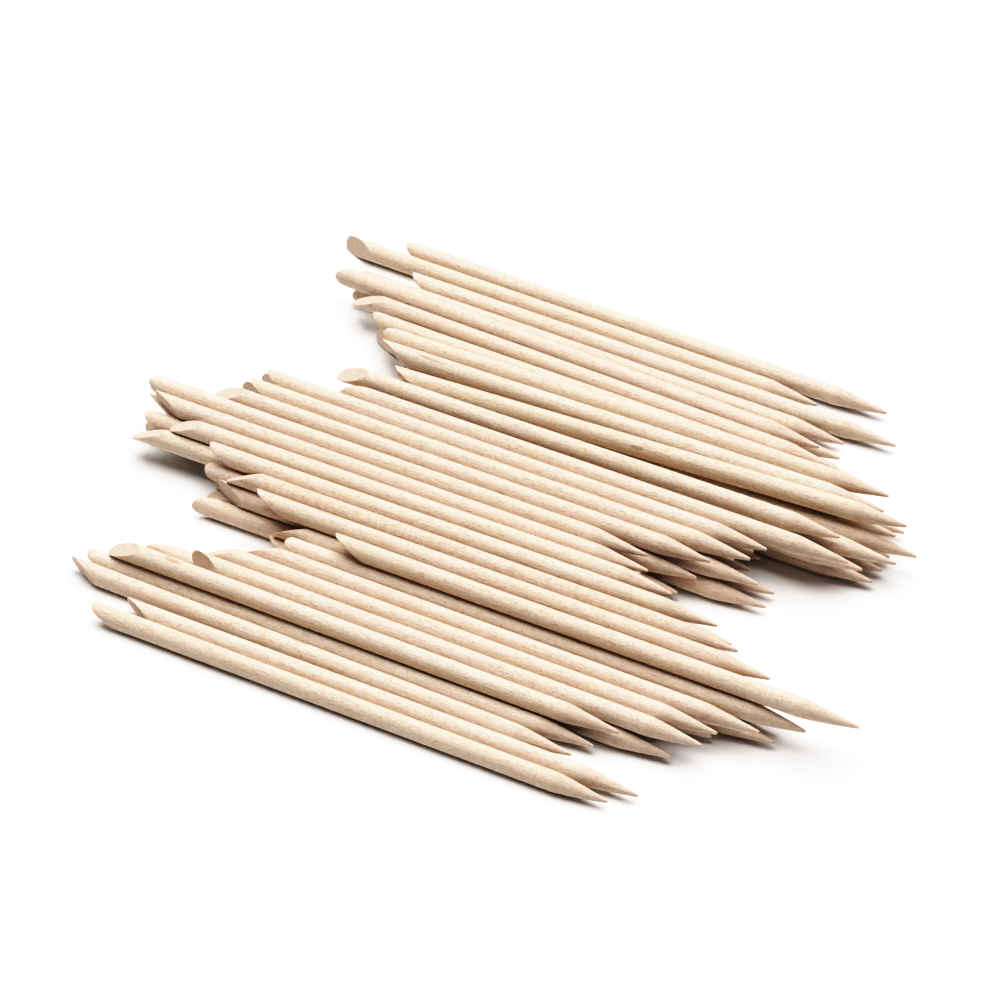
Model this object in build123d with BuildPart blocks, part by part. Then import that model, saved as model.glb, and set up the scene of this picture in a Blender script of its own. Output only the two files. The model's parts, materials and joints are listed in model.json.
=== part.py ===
from build123d import *

import math
import os

# A loose heap of wooden cuticle pushers, lying side by side in up to three rows on a flat surface.
# Every pusher is the same round birch stick, with a sharpened point at one end and a slanted,
# hoof-shaped end at the other. X runs along the sticks, with the points towards +X, Y runs across
# them, and Z is up. The origin is on the surface, under the middle of the heap.

# ---- the pusher ----
LENGTH = 114.0  # 4 1/2 inches
DIAMETER = 4.0
POINT_LENGTH = 10.5  # the sharpened cone
POINT_RADIUS = 0.3  # the blunt tip
BEVEL_ANGLE = 25.5  # between the slanted end's face and the axis
BEVEL_EDGE = 0.4  # thickness left at the slanted end's edge

# ---- how the pushers rest on each other ----
AIR_GAP = 0.06  # kept between neighbours that touch
STATIONS = 58  # places along a pusher where its support is looked for

RADIUS = DIAMETER / 2
HALF_LENGTH = LENGTH / 2


class Pusher:
    """One pusher in the heap, seen from above.

    slide: how far its middle is moved along X
    side: where its axis crosses X = 0, along Y
    turn: the angle of its axis to X, in degrees
    bevel: which way the slanted end faces, in degrees about the axis: 0 is up and 90 is towards +Y
    """

    def __init__(self, node, slide, side, turn, bevel=0.0):
        self.node = node
        self.along = (math.cos(math.radians(turn)), math.sin(math.radians(turn)))
        self.middle = (slide, side + slide * math.tan(math.radians(turn)))
        self.bevel = bevel
        self.height = RADIUS
        self.rise = 0.0

    def at(self, station):
        """The point of the axis that is this far from the middle."""
        return tuple(m + a * station for m, a in zip(self.middle, self.along))

    def seen_from(self, x, y):
        """The station nearest to a point, and the distance between the point and the axis."""
        dx = x - self.middle[0]
        dy = y - self.middle[1]
        return dx * self.along[0] + dy * self.along[1], abs(dy * self.along[0] - dx * self.along[1])


def numbered(name, placements):
    """Pushers that are each a piece of their own, numbered from the back of the heap to the front."""
    return [Pusher(f"{name}_{n:02d}", *placement) for n, placement in enumerate(placements, 1)]


def buried(name, slide, sides, turn, bevel=0.0):
    """Covered pushers that share one piece."""
    return [Pusher(name, slide, side, turn, bevel) for side in sides]


# ---- the rows, each from the back of the heap to the front: slide, side, turn, bevel ----
FLOOR_ROW = numbered(
    "floor_pusher",
    [
        (-1.5, 62.4, -0.6, 170),
        (-15.0, 57.7, -0.7, -68),
        (5.0, 53.3, -0.4, -165),
        (-4.5, 48.7, -0.5, 175),
        (-3.0, 44.0, -0.5, 100),
        (20.0, 19.5, 0.1, 0),
        (20.5, 15.3, 0.1, 0),
        (20.5, 11.1, 0.1, 0),
        (5.5, -1.8, 0.2, 0),
        (6.0, -6.4, 0.3, 0),
        (-11.0, -10.9, 0.3, 0),
        (-16.0, -15.3, 0.3, 120),
        (6.0, -32.6, 0.3, 110),
        (25.3, -36.9, 0.4, -150),
        (26.0, -41.25, 0.1, 0),
        (11.0, -54.2, -0.3, 0),
        (-3.0, -58.5, -0.5, 170),
        (-5.5, -62.8, -0.6, -106),
        (11.0, -67.5, 0.2, -106),
        (6.8, -71.7, 0.1, 180),
    ],
)
FLOOR_ROW += buried("buried_floor_back", 5.5, (38.5,), 0.1, -80)
FLOOR_ROW += buried("buried_floor_back", 8.0, (32.4,), 0.1, -80)
FLOOR_ROW += buried("buried_floor_back", 19.0, (28.2, 23.9), 0.1, -80)
FLOOR_ROW += buried("buried_floor_middle", -2.0, (6.8, 2.5), 0.2)
FLOOR_ROW += buried("buried_floor_front", 5.5, (-19.7, -24.1, -28.4), 0.3)
FLOOR_ROW += buried("buried_floor_front", 15.0, (-45.5,), 0.0)
FLOOR_ROW += buried("buried_floor_front", 5.6, (-49.8,), 0.0, 100)

SECOND_ROW = numbered(
    "second_pusher",
    [
        (-6.5, 42.0, -1.3, 120),
        (0.0, 37.1, -1.0, 3),
        (8.0, 32.4, -0.5, 180),
        (20.0, 22.0, 0.2, 0),
        (26.5, 17.7, 0.4, 0),
        (24.0, 13.5, 0.4, 0),
        (19.0, 9.2, 0.2, 0),
        (3.5, -4.8, 0.2, 0),
        (-8.0, -9.0, 0.3, 0),
        (-18.0, -13.2, 0.3, -120),
        (-15.0, -17.9, 0.3, 175),
        (-15.3, -22.4, 0.3, 10),
        (5.0, -26.5, 0.3, 150),
        (9.0, -30.6, 0.3, -95),
        (26.5, -35.5, 0.4, 40),
        (31.5, -39.6, 0.4, 160),
        (24.2, -44.0, 0.0, 40),
        (17.5, -48.3, 0.1, 20),
        (16.5, -52.5, 0.1, -72),
        (1.0, -56.8, 0.2, -12),
    ],
)
SECOND_ROW += buried("buried_second_back", 11.0, (27.6,), -0.3, -75)
SECOND_ROW += buried("buried_second_middle", -2.0, (3.6,), 0.2, -75)
SECOND_ROW += buried("buried_second_middle", -4.0, (-0.6,), 0.2, -75)

TOP_ROW = numbered(
    "top_pusher",
    [
        (16.5, 21.9, 1.3, -118),
        (15.5, 26.2, 1.15, 145),
        (12.5, 11.3, 0.7, -15),
        (23.2, 16.55, 2.57, -140),
        (17.5, 5.5, 0.4, 100),
        (2.0, 1.3, 0.2, -170),
        (0.5, -2.8, 0.2, -160),
        (-6.0, -7.0, 0.1, -5),
        (-17.7, -11.3, 0.3, 150),
        (-15.2, -15.6, 0.3, -108),
        (-7.7, -19.9, 0.5, 0),
        (4.5, -24.5, 0.7, -165),
        (11.5, -29.0, 0.3, 20),
        (20.5, -33.5, 0.5, -145),
        (41.5, -38.2, 0.6, -145),
    ],
)


def radius_at(station):
    """The pusher's radius at a distance from its middle, towards the point."""
    to_tip = HALF_LENGTH - station
    if to_tip >= POINT_LENGTH:
        return RADIUS
    return POINT_RADIUS + (RADIUS - POINT_RADIUS) * to_tip / POINT_LENGTH


def support_height(pusher, station, lower):
    """How high the axis has to be at a station to clear the surface and the pushers below."""
    x, y = pusher.at(station)
    height = radius_at(station)
    for other in lower:
        other_station, across = other.seen_from(x, y)
        if abs(other_station) > HALF_LENGTH:
            continue
        reach = radius_at(station) + radius_at(other_station) + AIR_GAP
        if across < reach:
            axis_height = other.height + other.rise * other_station
            height = max(height, axis_height + math.sqrt(reach**2 - across**2))
    return height


def drop(pusher, lower):
    """Lower a pusher until it rests on the two supports that hold its middle highest."""
    stations = [LENGTH * (n / (STATIONS - 1) - 0.5) for n in range(STATIONS)]
    supports = [(station, support_height(pusher, station, lower)) for station in stations]
    behind = [support for support in supports if support[0] < 0]
    ahead = [support for support in supports if support[0] > 0]
    bearings = []
    for back_station, back_height in behind:
        for front_station, front_height in ahead:
            rise = (front_height - back_height) / (front_station - back_station)
            bearings.append((back_height - rise * back_station, rise))
    pusher.height, pusher.rise = max(bearings)


heap = []
for row_pusher in FLOOR_ROW + SECOND_ROW + TOP_ROW:
    drop(row_pusher, heap)
    heap.append(row_pusher)

# The middle of the heap's outline goes over the origin.
ends = [pusher.at(end) for pusher in heap for end in (-HALF_LENGTH, HALF_LENGTH)]
centre_x = (min(x for x, y in ends) + max(x for x, y in ends)) / 2
centre_y = (min(y for x, y in ends) + max(y for x, y in ends)) / 2


def placing_plane(pusher):
    """The plane at the pusher's middle: x towards the point, z the way the slanted end faces."""
    x, y = pusher.middle
    along_x, along_y = pusher.along
    level_plane = Plane(
        origin=(x - centre_x, y - centre_y, pusher.height),
        x_dir=(along_x, along_y, pusher.rise),
        z_dir=(-pusher.rise * along_x, -pusher.rise * along_y, 1.0),
    )
    bevel = math.radians(pusher.bevel)
    facing = level_plane.z_dir * math.cos(bevel) + level_plane.y_dir * math.sin(bevel)
    return Plane(origin=level_plane.origin, x_dir=level_plane.x_dir, z_dir=facing)


def turned_stick(place):
    """The round stick with its point, turned about its own axis."""
    with BuildSketch(place) as half_profile:
        with BuildLine():
            Polyline(
                (-HALF_LENGTH, 0),
                (-HALF_LENGTH, RADIUS),
                (HALF_LENGTH - POINT_LENGTH, RADIUS),
                (HALF_LENGTH, POINT_RADIUS),
                (HALF_LENGTH, 0),
                close=True,
            )
        make_face()
    return revolve(half_profile.sketch, axis=Axis(place.origin, place.x_dir), mode=Mode.PRIVATE)


def bevelled(stick, place):
    """The stick with its slanted end cut, down to a thin edge."""
    edge_corner = place.from_local_coords((-HALF_LENGTH, 0, BEVEL_EDGE - RADIUS))
    tilt = math.radians(BEVEL_ANGLE)
    facing = place.z_dir * math.cos(tilt) - place.x_dir * math.sin(tilt)
    cut_plane = Plane(origin=edge_corner, z_dir=facing)
    return split(stick, bisect_by=cut_plane, keep=Keep.BOTTOM, mode=Mode.PRIVATE)


os.makedirs("parts", exist_ok=True)
for node in sorted({pusher.node for pusher in heap}):
    with BuildPart() as piece:
        for pusher in heap:
            if pusher.node == node:
                plane = placing_plane(pusher)
                add(bevelled(turned_stick(plane), plane))
    piece.part.label = node
    export_step(piece.part, f"parts/{node}.step")
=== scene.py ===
import json
import math
import random

import bpy
import numpy as np
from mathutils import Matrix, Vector

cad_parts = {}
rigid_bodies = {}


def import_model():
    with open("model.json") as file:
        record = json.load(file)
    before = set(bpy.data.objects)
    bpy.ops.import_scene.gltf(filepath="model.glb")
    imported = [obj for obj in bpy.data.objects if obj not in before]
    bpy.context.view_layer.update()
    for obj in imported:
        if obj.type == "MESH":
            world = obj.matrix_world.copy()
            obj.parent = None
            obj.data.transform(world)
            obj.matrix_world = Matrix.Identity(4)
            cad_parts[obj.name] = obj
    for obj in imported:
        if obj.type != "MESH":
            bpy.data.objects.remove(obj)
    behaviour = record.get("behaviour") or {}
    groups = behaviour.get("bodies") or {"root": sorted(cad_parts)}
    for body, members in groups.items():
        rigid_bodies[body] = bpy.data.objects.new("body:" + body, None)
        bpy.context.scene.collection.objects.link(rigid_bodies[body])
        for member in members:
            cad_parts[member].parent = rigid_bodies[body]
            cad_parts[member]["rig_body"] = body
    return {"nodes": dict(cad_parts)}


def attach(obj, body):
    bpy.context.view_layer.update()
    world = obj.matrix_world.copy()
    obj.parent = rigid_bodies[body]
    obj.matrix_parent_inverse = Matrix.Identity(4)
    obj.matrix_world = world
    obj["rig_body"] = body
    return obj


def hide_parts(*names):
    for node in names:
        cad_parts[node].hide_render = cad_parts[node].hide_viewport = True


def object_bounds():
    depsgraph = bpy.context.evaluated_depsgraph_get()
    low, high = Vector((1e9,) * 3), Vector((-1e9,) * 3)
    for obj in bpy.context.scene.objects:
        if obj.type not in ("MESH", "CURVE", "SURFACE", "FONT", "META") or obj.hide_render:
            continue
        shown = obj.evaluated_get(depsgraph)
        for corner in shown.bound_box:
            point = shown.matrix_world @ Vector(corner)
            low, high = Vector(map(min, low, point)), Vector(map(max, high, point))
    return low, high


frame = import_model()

CAD_LOW, CAD_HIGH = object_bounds()
MM = 0.001
SEED = 4107

# ---- the camera, at the viewing angle of the product shot ----
CAMERA_AT = (0.41038, -0.73568, 0.66565)
CAMERA_AIM = (-0.01175, 0.00439, 0.0)
LENS = 194.4
SENSOR = 36.0
CAMERA_REACH = 20.0

# ---- the light: an overhead softbox that leans away from the camera, and a faint warm fill ----
LIGHT_LEAN = 16
LIGHT_SPREAD = 66
LIGHT_POWER = 5.0
LIGHT_COLOUR = (1.0, 0.985, 0.965)
FILL_POWER = 0.1
FILL_COLOUR = (1.0, 0.93, 0.98, 1)
BACKDROP_COLOUR = (1.0, 1.0, 1.0, 1)
FLOOR_HALF = 2.5

# ---- the tone curve, for deep shadows and soft highlights: scene brightness, shown brightness ----
TONE_GAMMA = 0.735
TONE_WHITE = 1.4
TONE_CURVE = (
    (0.08, 0.037),
    (0.16, 0.105),
    (0.25, 0.208),
    (0.4, 0.405),
    (0.6, 0.63),
    (0.8, 0.825),
    (1.0, 0.93),
    (1.2, 0.975),
)

# ---- telling a CAD stick's faces apart, by how far their normals point along the axis ----
WALL_SLANT = 0.05  # less than this: the round wall
BEVEL_SLANT = (0.3, 0.6)  # between these, backwards: the slanted face
FULL_SHARE = 0.99  # a point at this share of the radius is still on the round wall
TIP_SLICE = 0.01  # in mm

# ---- the stick's mesh, in mm ----
COLUMNS = 48  # vertices around
BODY_STEP = 2.6
THINNING = 0.004  # share of the radius that comes and goes along the stick
THINNING_WAVE = 60.0
BOW_WAVE = 150.0
BEVEL_RINGS = (0.0, 0.012, 0.035, 0.08, 0.15, 0.25, 0.38, 0.53, 0.7, 0.86)  # shares of the bevelled part
BEVEL_ROOM = 3.0  # from the slanted face to the first even ring
RIM_SHARE = 0.03  # the part of the bevelled part that is worn
RIM_ROUNDING = 0.055
RIM_WAVER = 0.05
RIM_SINK = 0.035  # how far the slanted face drops just inside its rim
RIM_SINK_WIDTH = 0.03
CAP_RINGS = (0.985, 0.955, 0.9, 0.78, 0.62, 0.45, 0.28, 0.12)  # the slanted face's loops, from the rim in
SHOULDER_ROOM = 1.2  # between the last even ring and the cone
SHOULDER_ROUNDING = 0.14
SHOULDER_RINGS = (  # distance past the cone's start, how freshly cut
    (-0.6, 0.1),
    (-0.25, 0.3),
    (0.0, 0.5),
    (0.25, 0.65),
    (0.6, 0.75),
    (1.1, 0.8),
)
CONE_RINGS = 9
CONE_START = 1.1
CONE_STOP = 0.25  # before the tip's end
TIP_RINGS = ((0.0, 0.55), (0.05, 0.8), (0.13, 0.95))  # distance from the tip's end, share of its radius
TIP_DOME = 0.012

# ---- how freshly cut the wood looks: 0 is the sanded round wall, 1 the slanted face ----
RIM_CUT = 0.45
CAP_CUT = 0.55
CONE_CUT = 0.8
TIP_CUT = 0.9

# ---- the wood's colours ----
PALE = (0.82, 0.75, 0.67, 1)
WARM = (0.79, 0.66, 0.525, 1)
PINK = (0.79, 0.67, 0.60, 1)
STREAK = (0.64, 0.475, 0.345, 1)
FIBRE = (0.63, 0.465, 0.335, 1)
FLECK = (0.58, 0.42, 0.30, 1)
FUZZ = (0.91, 0.84, 0.74, 1)
RIPPLE = (0.55, 0.38, 0.24, 1)
PORE = (0.38, 0.25, 0.165, 1)
KNOT = (0.34, 0.20, 0.11, 1)
CUT_PALE = (0.70, 0.575, 0.495, 1)
CUT_DARK = (0.56, 0.43, 0.355, 1)
RELIEF_DEPTH = 0.00014  # in metres

PAPER_DARK = (0.88, 0.88, 0.885, 1)
PAPER_PALE = (0.90, 0.90, 0.905, 1)


# ---------------------------------------------------------------- reading the sticks from the frame
def split_solids(obj):
    """The node's separate solids, each as its points in mm and its triangles."""
    mesh = obj.data
    mesh.calc_loop_triangles()
    raw = np.zeros(len(mesh.vertices) * 3)
    mesh.vertices.foreach_get("co", raw)
    corners = np.zeros(len(mesh.loop_triangles) * 3, np.int64)
    mesh.loop_triangles.foreach_get("vertices", corners)
    points, same = np.unique(np.round(raw.reshape(-1, 3) / MM, 4), axis=0, return_inverse=True)
    triangles = same.reshape(-1)[corners].reshape(-1, 3)
    group = np.arange(len(points))
    while True:
        lowest = group[triangles].min(axis=1)
        merged = group.copy()
        for corner in range(3):
            np.minimum.at(merged, triangles[:, corner], lowest)
        if np.array_equal(merged, group):
            break
        group = merged
    return [(points, triangles[group[triangles[:, 0]] == label]) for label in np.unique(group)]


def measure(points, triangles):
    """Where one stick lies and how it is cut: every number comes from its CAD solid."""
    a, b, c = (points[triangles[:, corner]] for corner in range(3))
    normals = np.cross(b - a, c - a)
    areas = np.linalg.norm(normals, axis=1)
    normals = normals / np.maximum(areas, 1e-12)[:, None]
    used = points[np.unique(triangles)]
    rough = np.linalg.svd(used - used.mean(axis=0), full_matrices=False)[2][0]
    wall = np.abs(normals @ rough) < WALL_SLANT
    spread = (normals[wall] * areas[wall][:, None]).T @ normals[wall]
    axis = np.linalg.eigh(spread)[1][:, 0]
    along_face = normals @ axis
    if areas[along_face > BEVEL_SLANT[0]].sum() > areas[along_face < -BEVEL_SLANT[0]].sum():
        axis = -axis
        along_face = -along_face
    bevel = (-BEVEL_SLANT[1] < along_face) & (along_face < -BEVEL_SLANT[0])
    face = (normals[bevel] * areas[bevel][:, None]).sum(axis=0)
    face /= np.linalg.norm(face)
    facing = face - axis * (face @ axis)
    facing /= np.linalg.norm(facing)
    side = np.cross(axis, facing)
    rim = points[np.unique(triangles[wall])]
    flat = np.stack([rim @ facing, rim @ side], axis=1)
    circle = np.column_stack([2 * flat, np.ones(len(flat))])
    fit = np.linalg.lstsq(circle, (flat**2).sum(axis=1), rcond=None)[0]
    radius = math.sqrt(fit[2] + fit[0] ** 2 + fit[1] ** 2)
    stations = used @ axis
    off_axis = np.hypot(used @ facing - fit[0], used @ side - fit[1])
    start, end = stations.min(), stations.max()
    cone_start = stations[off_axis > FULL_SHARE * radius].max()
    origin = axis * start + facing * fit[0] + side * fit[1]
    plane_at = points[triangles[bevel][0, 0]] @ face - face @ origin
    return {
        "axis": axis,
        "facing": facing,
        "side": side,
        "origin": origin,
        "length": end - start,
        "radius": radius,
        "point": end - cone_start,
        "tip": off_axis[stations > end - TIP_SLICE].max(),
        "slope": -(face @ axis) / (face @ facing),
        "edge": plane_at / (face @ facing),
    }


# ---------------------------------------------------------------- the stick's mesh
def soft_min(a, b, width):
    """The smaller of two values, with the corner between them rounded."""
    h = np.clip(0.5 + 0.5 * (b - a) / width, 0.0, 1.0)
    return b * (1 - h) + a * h - width * h * (1 - h)


def waves(rng, count, longest):
    """A gentle random curve along the stick, between about -1 and 1."""
    terms = []
    for n in range(count):
        size = rng.uniform(0.4, 1.0)
        step = rng.uniform(0.7, 1.3) * longest / (n + 1)
        terms.append((size, step, rng.uniform(0, math.tau)))
    total = sum(size for size, _, _ in terms)
    return lambda u: sum(size * np.sin(math.tau * u / step + phase) for size, step, phase in terms) / total


def stick_mesh(stick, rng):
    """Points, faces and surface facts of one sharpened stick, in the stick's own frame, in mm."""
    length, full = stick["length"], stick["radius"]
    slope, edge = stick["slope"], stick["edge"]
    theta = np.arange(COLUMNS) * math.tau / COLUMNS
    cos, sin = np.cos(theta), np.sin(theta)

    oval = rng.uniform(0.004, 0.014)
    oval_turn = rng.uniform(0, math.tau)
    thinning = waves(rng, 3, THINNING_WAVE)
    bow_facing, bow_side = waves(rng, 2, BOW_WAVE), waves(rng, 2, BOW_WAVE)
    bow = rng.uniform(0.01, 0.035)
    point = stick["point"] * rng.uniform(0.98, 1.12)
    bulge = rng.uniform(0.08, 0.26)
    tip_shift = (rng.uniform(-0.1, 0.1), rng.uniform(-0.1, 0.1))
    facets = rng.choice((7, 8, 9, 11))
    facet_turn = rng.uniform(0, math.tau)
    facet_depth = rng.uniform(0.01, 0.03)
    end_round = rng.uniform(0.3, 0.8)
    spoon = rng.uniform(-0.05, 0.09)
    rim_rough = waves(rng, 5, math.tau / 2)

    def body_radius(u):
        flattened = oval * (0.5 + 0.5 * np.cos(2 * theta + oval_turn))
        return full * (1 - flattened - THINNING * (1 + thinning(u)))

    def cone_radius(u):
        share = np.clip((length - u) / point, 0.0, 1.6)
        straight = share + bulge * share * np.clip(1 - share, 0, 1)
        facet = np.abs(np.sin(facets * (theta + facet_turn) / 2))
        planed = 1 - facet_depth * facet * np.clip(share * 3, 0, 1)
        return (stick["tip"] + (full - stick["tip"]) * straight) * planed

    def ring(u, shrink=1.0):
        u = np.broadcast_to(np.asarray(u, float), theta.shape)
        r = soft_min(body_radius(u), cone_radius(u), SHOULDER_ROUNDING) * shrink
        sharp = np.clip(1 - (length - u) / point, 0, 1)
        v = r * cos + bow * bow_facing(u) + tip_shift[0] * sharp**2
        w = r * sin + bow * bow_side(u) + tip_shift[1] * sharp**2
        return np.stack([u, v, w], axis=1)

    # The slanted end's rim is where the cut plane leaves the round wall. Its thin end is rounded.
    cut_rim = np.maximum((full * cos - edge) / slope, 0.0)
    corner = math.sqrt(1 - (edge / full) ** 2)
    thin_end = end_round * np.clip(np.abs(sin) / corner, 0, 1) ** 2 * (cos < 0)
    rim_at = np.sqrt(cut_rim**2 + thin_end**2) + RIM_WAVER * (1 + rim_rough(theta))
    zone = (full - edge) / slope + BEVEL_ROOM

    rings, facts = [], []
    for share in BEVEL_RINGS:
        at = rim_at + share * (zone - rim_at)
        near_rim = max(0.0, 1 - share / RIM_SHARE)
        rings.append(ring(at, 1 - RIM_ROUNDING / full * near_rim**2))
        facts.append(RIM_CUT * near_rim)
    body_end = length - point
    even = body_end - SHOULDER_ROOM - zone
    steps = round(even / BODY_STEP)
    for n in range(steps + 1):
        rings.append(ring(zone + even * n / steps))
        facts.append(0.0)
    for shift, sharpened in SHOULDER_RINGS:
        rings.append(ring(body_end + shift))
        facts.append(sharpened)
    for n in range(1, CONE_RINGS + 1):
        rings.append(ring(body_end + CONE_START + (point - CONE_START - CONE_STOP) * n / CONE_RINGS))
        facts.append(CONE_CUT)
    for back, share in reversed(TIP_RINGS):
        rings.append(ring(length - back, share))
        facts.append(TIP_CUT)

    points = [row for one in rings for row in one]
    cut = [fact for fact in facts for _ in range(COLUMNS)]
    faces = []
    for k in range(len(rings) - 1):
        low, high = k * COLUMNS, (k + 1) * COLUMNS
        for j in range(COLUMNS):
            following = (j + 1) % COLUMNS
            faces.append((low + j, high + j, high + following, low + following))
    last = (len(rings) - 1) * COLUMNS
    tip = len(points)
    points.append(rings[-1].mean(axis=0) + np.array([TIP_DOME, 0, 0]))
    cut.append(TIP_CUT)
    faces += [(last + j, tip, last + (j + 1) % COLUMNS) for j in range(COLUMNS)]

    # The slanted face: loops that shrink towards the middle of the ellipse and lie on the cut plane.
    rim = rings[0]
    middle = np.array([rim[:, 0].mean(), 0.0, rim[:, 2].mean()])
    previous = 0
    for share in CAP_RINGS:
        loop = middle + (rim - middle) * share
        depth = 1 - share
        sunk = spoon * math.sin(math.pi * depth) + RIM_SINK * math.exp(-depth / RIM_SINK_WIDTH)
        loop[:, 1] = edge + loop[:, 0] * slope - sunk
        base = len(points)
        points += list(loop)
        cut += [min(1.0, CAP_CUT + 5 * depth)] * COLUMNS
        for j in range(COLUMNS):
            following = (j + 1) % COLUMNS
            faces.append((previous + j, previous + following, base + following, base + j))
        previous = base
    centre = len(points)
    points.append(np.array([middle[0], edge + middle[0] * slope - spoon, middle[2]]))
    cut.append(1.0)
    faces += [(previous + j, previous + (j + 1) % COLUMNS, centre) for j in range(COLUMNS)]
    return np.array(points), faces, np.array(cut)


def wooden_piece(node, rng, material):
    """Every stick of a CAD node as one detailed mesh with the facts its wood needs."""
    all_points, all_faces, grain_at, tones, cuts = [], [], [], [], []
    for points, triangles in split_solids(frame["nodes"][node]):
        stick = measure(points, triangles)
        local, faces, cut = stick_mesh(stick, rng)
        basis = np.stack([stick["axis"], stick["facing"], stick["side"]])
        base = sum(len(part) for part in all_points)
        all_points.append((stick["origin"] + local @ basis) * MM)
        all_faces += [tuple(base + corner for corner in face) for face in faces]
        turn = rng.uniform(0, math.tau)
        turned = np.stack(
            [
                local[:, 0] + rng.uniform(0, 900),
                local[:, 1] * math.cos(turn) - local[:, 2] * math.sin(turn) + rng.uniform(-40, 40),
                local[:, 1] * math.sin(turn) + local[:, 2] * math.cos(turn) + rng.uniform(-40, 40),
            ],
            axis=1,
        )
        grain_at.append(turned)
        tone = (rng.uniform(0, 1), rng.uniform(0, 1), rng.uniform(0, 1))
        tones.append(np.tile(tone, (len(local), 1)))
        cuts.append(cut)
    # A bowed stick would stand up to 0.02 mm outside the CAD's box.
    placed = np.clip(np.concatenate(all_points), np.array(CAD_LOW), np.array(CAD_HIGH))
    mesh = bpy.data.meshes.new(f"wood_{node}")
    mesh.from_pydata(placed.tolist(), [], all_faces)
    mesh.polygons.foreach_set("use_smooth", [True] * len(mesh.polygons))
    for name, values in (("grain_at", grain_at), ("tone", tones)):
        layer = mesh.attributes.new(name, "FLOAT_VECTOR", "POINT")
        layer.data.foreach_set("vector", np.concatenate(values).astype(np.float32).ravel())
    layer = mesh.attributes.new("cut", "FLOAT", "POINT")
    layer.data.foreach_set("value", np.concatenate(cuts).astype(np.float32))
    mesh.materials.append(material)
    mesh.update()
    piece = bpy.data.objects.new(f"wood_{node}", mesh)
    bpy.context.scene.collection.objects.link(piece)
    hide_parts(node)
    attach(piece, frame["nodes"][node]["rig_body"])


# ---------------------------------------------------------------- the wood
class Tree:
    """Adds nodes to a material, linking sockets and setting plain values."""

    def __init__(self, name):
        self.material = bpy.data.materials.new(name)
        self.material.use_nodes = True
        self.nodes = self.material.node_tree.nodes
        self.links = self.material.node_tree.links
        self.nodes.clear()

    def add(self, kind, inputs=(), **settings):
        made = self.nodes.new(kind)
        for name, value in settings.items():
            setattr(made, name, value)
        for key, value in dict(inputs).items():
            if isinstance(value, bpy.types.NodeSocket):
                self.links.new(value, made.inputs[key])
            else:
                made.inputs[key].default_value = value
        return made

    def attribute(self, name):
        return self.add("ShaderNodeAttribute", attribute_name=name)

    def noise(self, at, stretch, detail=3.0, roughness=0.55, distortion=0.0):
        scaled = self.add("ShaderNodeVectorMath", {0: at, 1: stretch}, operation="MULTIPLY")
        return self.add(
            "ShaderNodeTexNoise",
            {
                "Vector": scaled.outputs[0],
                "Scale": 1.0,
                "Detail": detail,
                "Roughness": roughness,
                "Distortion": distortion,
            },
        ).outputs[0]

    def ranged(self, value, low, high, to_low=0.0, to_high=1.0):
        return self.add(
            "ShaderNodeMapRange",
            {"Value": value, "From Min": low, "From Max": high, "To Min": to_low, "To Max": to_high},
        ).outputs[0]

    def math(self, operation, a, b):
        return self.add("ShaderNodeMath", {0: a, 1: b}, operation=operation).outputs[0]

    def blend(self, factor, a, b):
        made = self.add("ShaderNodeMix", data_type="RGBA")
        for index, value in ((0, factor), (6, a), (7, b)):
            if isinstance(value, bpy.types.NodeSocket):
                self.links.new(value, made.inputs[index])
            else:
                made.inputs[index].default_value = value
        return made.outputs[2]


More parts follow.
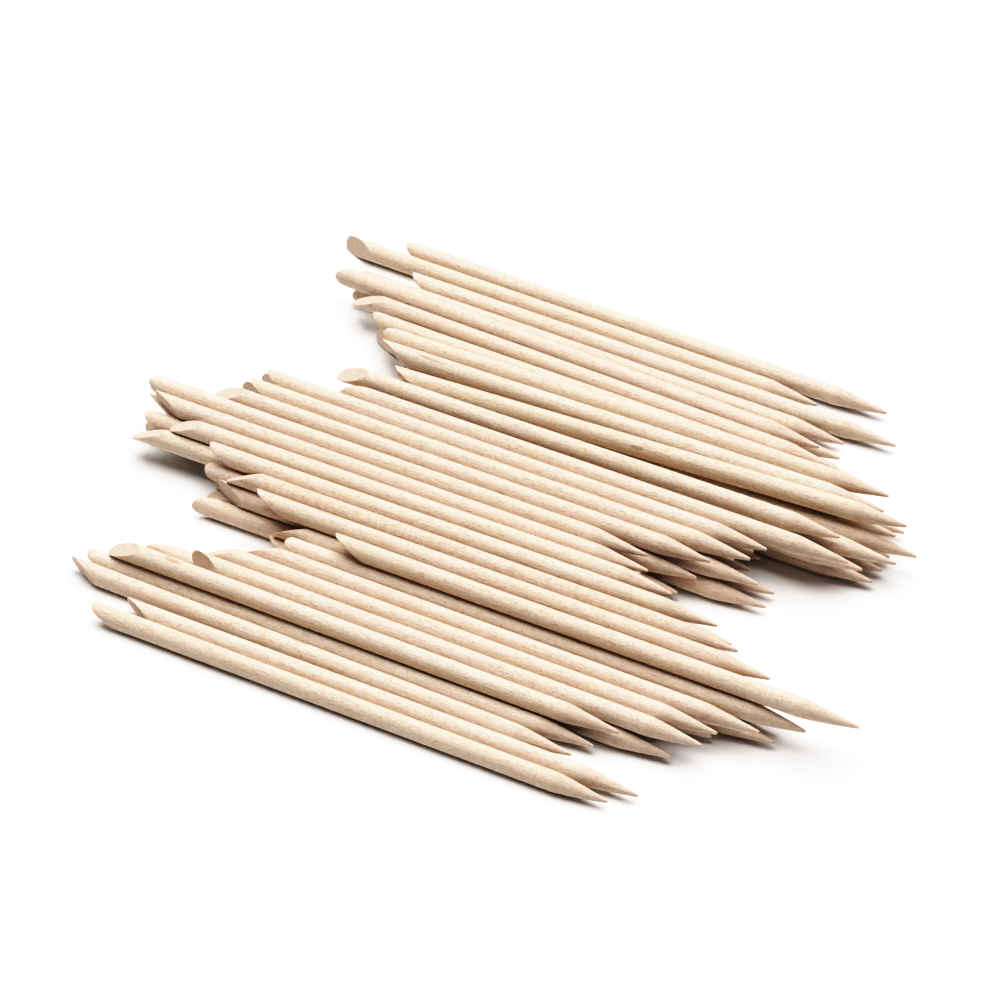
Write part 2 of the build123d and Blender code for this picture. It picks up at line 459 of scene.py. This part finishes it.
def birch():
    tree = Tree("birch")
    at = tree.attribute("grain_at").outputs["Vector"]
    cut = tree.attribute("cut").outputs["Fac"]
    tone = tree.add("ShaderNodeSeparateXYZ", {0: tree.attribute("tone").outputs["Vector"]})
    lightness, pinkness, figured = tone.outputs[0], tone.outputs[1], tone.outputs[2]

    # Each noise has its scale along the stick first, and then across it.
    mottle = tree.noise(at, (0.045, 0.35, 0.35), detail=2.0)
    streak = tree.noise(at, (0.06, 1.7, 1.7), detail=3.0, roughness=0.6, distortion=0.3)
    fibre = tree.noise(at, (0.22, 3.4, 3.4), detail=3.0, roughness=0.7)
    fleck = tree.noise(at, (1.3, 3.0, 3.0), detail=2.0, roughness=0.75)
    pore = tree.ranged(tree.noise(at, (1.1, 3.6, 3.6), detail=1.0), 0.60, 0.70)
    fuzz = tree.ranged(tree.noise(at, (1.6, 4.2, 4.2), detail=1.0), 0.56, 0.68)
    ripple = tree.noise(at, (1.1, 0.4, 0.4), detail=2.0, distortion=0.8)
    knot = tree.ranged(tree.noise(at, (0.11, 0.5, 0.5), detail=0.0), 0.83, 0.87)

    colour = tree.blend(tree.ranged(lightness, 0.0, 1.0, 0.0, 0.6), PALE, WARM)
    colour = tree.blend(tree.ranged(pinkness, 0.35, 1.0, 0.0, 0.85), colour, PINK)
    colour = tree.blend(tree.ranged(mottle, 0.35, 0.7, 0.0, 0.55), colour, WARM)
    colour = tree.blend(tree.ranged(streak, 0.5, 0.72, 0.0, 0.5), colour, STREAK)
    colour = tree.blend(tree.ranged(fibre, 0.42, 0.64, 0.0, 0.42), colour, FIBRE)
    colour = tree.blend(tree.ranged(fleck, 0.48, 0.66, 0.0, 0.38), colour, FLECK)
    colour = tree.blend(tree.math("MULTIPLY", fuzz, 0.3), colour, FUZZ)
    ripple = tree.ranged(ripple, 0.45, 0.62, 0.0, 0.3)
    rippled = tree.math("MULTIPLY", tree.ranged(figured, 0.93, 0.97), ripple)
    colour = tree.blend(rippled, colour, RIPPLE)
    colour = tree.blend(tree.math("MULTIPLY", pore, 0.27), colour, PORE)
    colour = tree.blend(tree.math("MULTIPLY", knot, 0.5), colour, KNOT)
    cut_colour = tree.blend(tree.ranged(fibre, 0.3, 0.7), CUT_PALE, CUT_DARK)
    colour = tree.blend(tree.math("MULTIPLY", cut, 0.6), colour, cut_colour)

    relief = tree.math("MULTIPLY", fibre, 0.5)
    relief = tree.math("ADD", relief, tree.math("MULTIPLY", fleck, 0.55))
    relief = tree.math("SUBTRACT", relief, tree.math("MULTIPLY", pore, 0.35))
    torn = tree.math("MULTIPLY", tree.noise(at, (2.4, 3.4, 3.4), detail=3.0), cut)
    relief = tree.math("ADD", relief, tree.math("MULTIPLY", torn, 0.5))
    bump = tree.add("ShaderNodeBump", {"Strength": 1.0, "Distance": RELIEF_DEPTH, "Height": relief})
    rough = tree.ranged(fibre, 0.3, 0.7, 0.52, 0.7)
    shader = tree.add(
        "ShaderNodeBsdfPrincipled",
        {
            "Base Color": colour,
            "Roughness": tree.math("ADD", rough, tree.math("MULTIPLY", cut, 0.1)),
            "Normal": bump.outputs[0],
            "IOR": 1.45,
            "Specular IOR Level": 0.4,
            "Subsurface Weight": 0.15,
            "Subsurface Radius": (1.0, 0.4, 0.2),
            "Subsurface Scale": 0.0006,
        },
    )
    tree.add("ShaderNodeOutputMaterial", {"Surface": shader.outputs[0]})
    return tree.material


# ---------------------------------------------------------------- the studio
def studio():
    scene = bpy.context.scene
    scene.view_settings.view_transform = "Standard"
    scene.view_settings.look = "None"
    scene.view_settings.gamma = TONE_GAMMA
    scene.view_settings.exposure = 0.0
    scene.view_settings.use_curve_mapping = True
    curves = scene.view_settings.curve_mapping
    curves.white_level = (TONE_WHITE, TONE_WHITE, TONE_WHITE)
    for seen, shown in TONE_CURVE:
        curves.curves[3].points.new(seen / TONE_WHITE, shown)
    curves.update()

    world = bpy.data.worlds.new("studio")
    world.use_nodes = True
    background = world.node_tree.nodes["Background"]
    background.inputs["Color"].default_value = FILL_COLOUR
    background.inputs["Strength"].default_value = FILL_POWER
    # A view from low down sees past the floor, so the world is as white as the floor there, but it only
    # lights the heap with the fill.
    sky = world.node_tree
    backdrop = sky.nodes.new("ShaderNodeBackground")
    backdrop.inputs["Color"].default_value = BACKDROP_COLOUR
    backdrop.inputs["Strength"].default_value = TONE_WHITE
    mix = sky.nodes.new("ShaderNodeMixShader")
    seen_directly = sky.nodes.new("ShaderNodeLightPath").outputs["Is Camera Ray"]
    for socket, source in enumerate((seen_directly, background.outputs[0], backdrop.outputs[0])):
        sky.links.new(source, mix.inputs[socket])
    sky.links.new(mix.outputs[0], sky.nodes["World Output"].inputs["Surface"])
    scene.world = world

    tree = Tree("paper")
    at = tree.add("ShaderNodeNewGeometry").outputs["Position"]
    speckle = tree.noise(at, (900.0, 900.0, 900.0), detail=2.0)
    colour = tree.blend(tree.ranged(speckle, 0.3, 0.7), PAPER_DARK, PAPER_PALE)
    shader = tree.add(
        "ShaderNodeBsdfPrincipled",
        {"Base Color": colour, "Roughness": 0.8, "Specular IOR Level": 0.2},
    )
    tree.add("ShaderNodeOutputMaterial", {"Surface": shader.outputs[0]})
    corners = [(x * FLOOR_HALF, y * FLOOR_HALF, 0) for x, y in ((-1, -1), (1, -1), (1, 1), (-1, 1))]
    mesh = bpy.data.meshes.new("studio_floor")
    mesh.from_pydata(corners, [], [(0, 1, 2, 3)])
    mesh.materials.append(tree.material)
    floor = bpy.data.objects.new("studio_floor", mesh)
    scene.collection.objects.link(floor)

    sun = bpy.data.lights.new("overhead_softbox", "SUN")
    sun.energy = LIGHT_POWER
    sun.angle = math.radians(LIGHT_SPREAD)
    sun.color = LIGHT_COLOUR
    lamp = bpy.data.objects.new("overhead_softbox", sun)
    away = (Vector(CAMERA_AIM) - Vector(CAMERA_AT)) * Vector((1, 1, 0))
    from_floor = away.normalized() * math.tan(math.radians(LIGHT_LEAN)) + Vector((0, 0, 1))
    lamp.rotation_euler = from_floor.to_track_quat("Z", "Y").to_euler()
    scene.collection.objects.link(lamp)

    lens = bpy.data.cameras.new("product_camera")
    lens.lens = LENS
    lens.sensor_width = SENSOR
    lens.clip_end = CAMERA_REACH
    camera = bpy.data.objects.new("product_camera", lens)
    camera.location = CAMERA_AT
    camera.rotation_euler = (Vector(CAMERA_AIM) - Vector(CAMERA_AT)).to_track_quat("-Z", "Y").to_euler()
    scene.collection.objects.link(camera)
    scene.camera = camera


wood = birch()
for number, name in enumerate(sorted(frame["nodes"])):
    wooden_piece(name, random.Random(SEED + number), wood)
studio()
